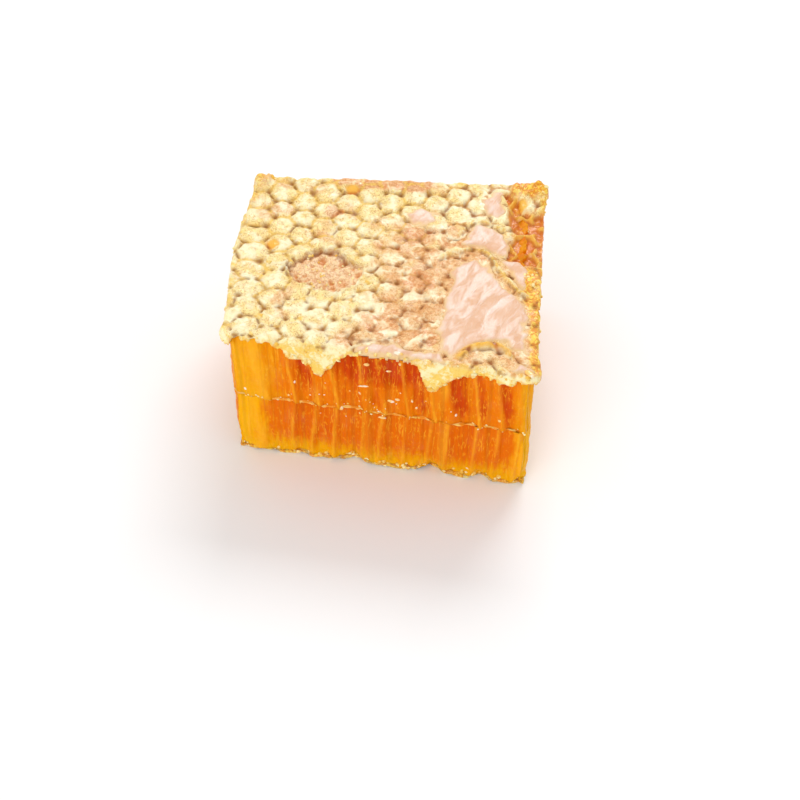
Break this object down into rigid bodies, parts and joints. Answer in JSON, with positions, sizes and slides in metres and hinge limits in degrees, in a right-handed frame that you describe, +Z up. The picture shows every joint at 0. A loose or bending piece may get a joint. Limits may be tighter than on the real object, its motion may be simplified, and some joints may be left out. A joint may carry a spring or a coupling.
{
  "type": "honeycomb piece",
  "caption": "Hand-cut slab of capped honeycomb: domed wax cappings over honey-filled cells, a thin midrib, more cells and flat cappings underneath.",
  "frame": {"origin": "middle of the footprint on the plane the slab rests on", "axes": "+Z up through the cells, +X along the longer cut side, -Y towards the cut front face"},
  "size_m": [0.0646, 0.0568, 0.0365],
  "materials": {
    "capping_wax": "Pale cream-yellow beeswax cappings, soft and slightly translucent, with tan and brown pits between the domes.",
    "honey_cells": "Wet amber to orange honey in thin wax cells, glossy, fluted where the knife opened them.",
    "comb_wax": "Thin yellow wax, torn at its edge and wet with honey."
  },
  "bodies": {
    "root": {"cappings_top": "capping_wax", "cells_upper": "honey_cells", "midrib": "comb_wax", "cells_lower": "honey_cells", "cappings_bottom": "capping_wax"}
  },
  "joints": []
}
